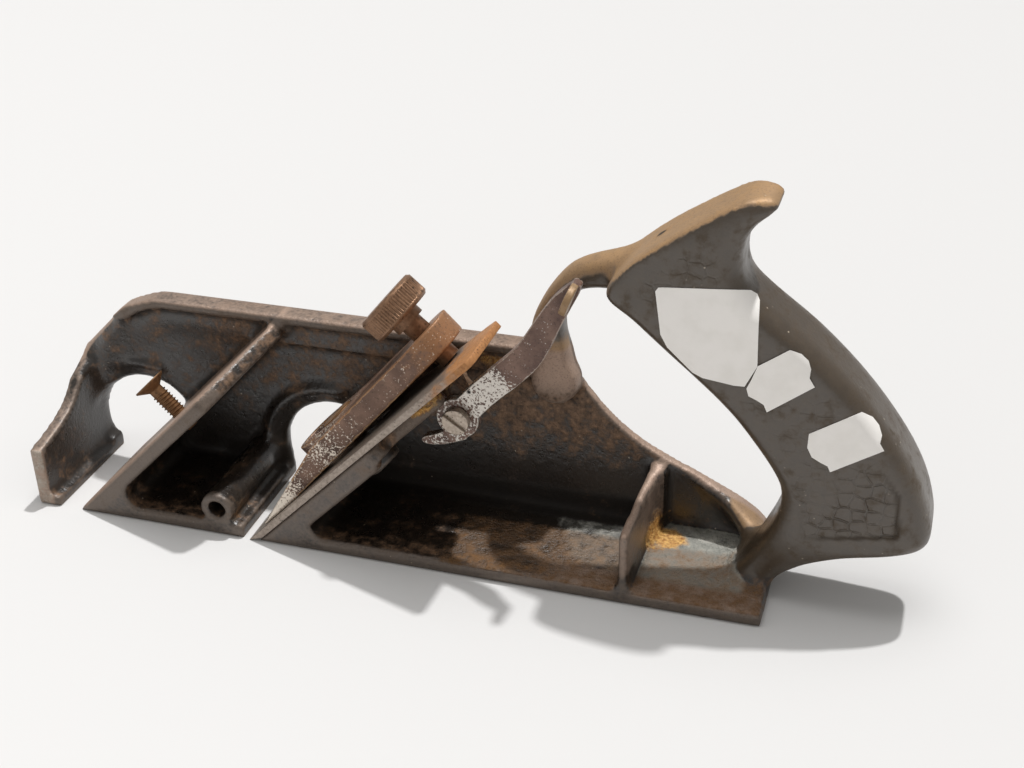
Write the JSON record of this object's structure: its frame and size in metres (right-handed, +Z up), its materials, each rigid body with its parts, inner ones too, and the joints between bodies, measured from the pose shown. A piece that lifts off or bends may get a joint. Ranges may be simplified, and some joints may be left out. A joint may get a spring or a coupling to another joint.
{
  "type": "rebate plane",
  "caption": "Cast rebate plane: open-sided body with nose and main cutter seats, looped handle, sloping cutter under a screwed lever cap, and a pivoted lever that sets the depth of cut.",
  "frame": {"origin": "middle of the sole, on its working face", "axes": "+X from the nose towards the handle, +Y from the open side towards the walled side, +Z up"},
  "size_m": [0.2583, 0.0392, 0.1137],
  "materials": {
    "japanned_iron": "worn black japanning over grey iron, brown at the edges",
    "cutter_steel": "pitted grey steel, rusty at the upper end",
    "cap_iron": "brown iron with the remains of pale plating",
    "knob_steel": "brown knurled steel",
    "rusty_screw": "steel with brown rust",
    "lever_steel": "speckled worn nickel plating",
    "bright_screw": "dull steel"
  },
  "bodies": {
    "body": {"body_casting": "japanned_iron", "main_cap_screw": "rusty_screw", "front_cap_screw": "rusty_screw", "lever_pivot_screw": "bright_screw", "spur_screw": "bright_screw"},
    "cutter": {"cutter": "cutter_steel"},
    "lever_cap": {"lever_cap": "cap_iron"},
    "thumbscrew": {"cap_thumbscrew": "knob_steel"},
    "lever": {"adjusting_lever": "lever_steel"},
    "spur": {"spur": "bright_screw"}
  },
  "joints": [
    {"name": "lever_swing", "type": "hinge", "parent": "body", "child": "lever", "pos_m": [0.022, -0.0055, 0.0432], "axis": [0, 1, 0], "range_deg": [-6, 6]},
    {"name": "cutter_feed", "type": "slide", "parent": "body", "child": "cutter", "axis": [0.7071, 0, 0.7071], "range_m": [-0.0012, 0.0012]},
    {"name": "cap_slide", "type": "slide", "parent": "body", "child": "lever_cap", "axis": [0.7071, 0, 0.7071], "range_m": [0, 0.0077]},
    {"name": "thumbscrew_turn", "type": "hinge", "parent": "lever_cap", "child": "thumbscrew", "pos_m": [0.01041, 0, 0.06432], "axis": [-0.7604, 0, 0.6494], "continuous": true},
    {"name": "spur_turn", "type": "hinge", "parent": "body", "child": "spur", "pos_m": [-0.0505, 0.01785, 0.0072], "axis": [0, 1, 0], "continuous": true}
  ],
  "couplings": [
    {"joint": "cutter_feed", "follows": "lever_swing", "m_per_rad": 0.010465}
  ]
}
